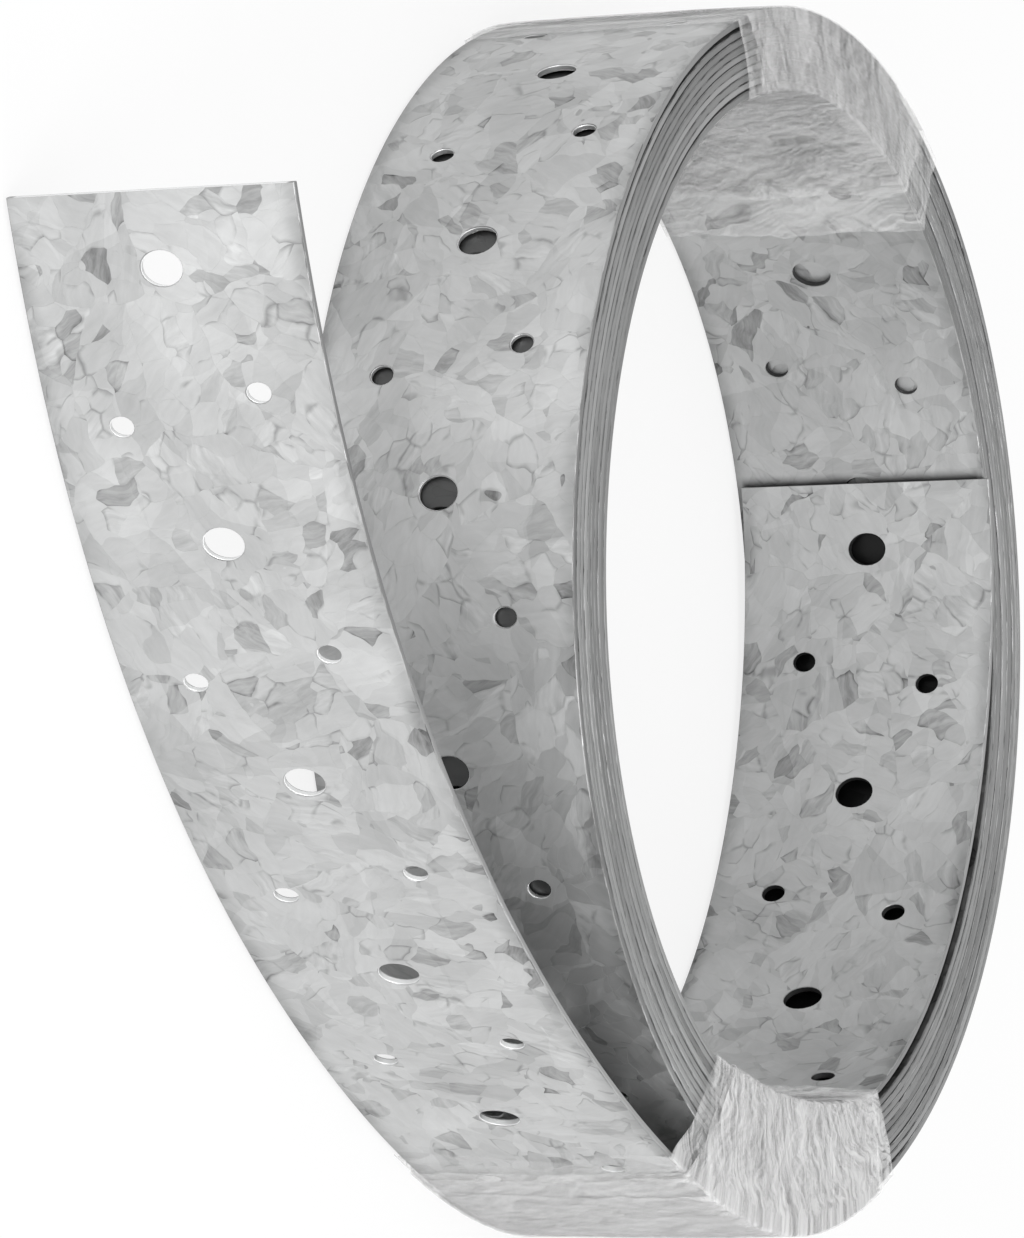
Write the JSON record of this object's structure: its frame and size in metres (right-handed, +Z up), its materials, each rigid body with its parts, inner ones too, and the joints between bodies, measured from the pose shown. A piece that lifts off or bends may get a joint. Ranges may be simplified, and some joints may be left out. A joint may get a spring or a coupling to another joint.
{
  "type": "perforated steel strap, coiled",
  "caption": "Coil of galvanised perforated steel strap with bolt and nail holes, its outer end free, held by wraps of clear stretch film.",
  "frame": {"origin": "on the coil's axis, at the floor on which the coil lies on its end", "axes": "+Z up along the coil's axis; the outer end leaves the coil at -Y and its tip points to -X"},
  "size_m": [0.3877, 0.2564, 0.061],
  "materials": {
    "zinc_steel": "hot-dip galvanised with large spangle, satin",
    "stretch_film": "clear, stretched and wrinkled, several layers"
  },
  "bodies": {
    "root": {"strap": "zinc_steel", "film_wrap_upper": "stretch_film", "film_wrap_lower": "stretch_film"}
  },
  "joints": []
}
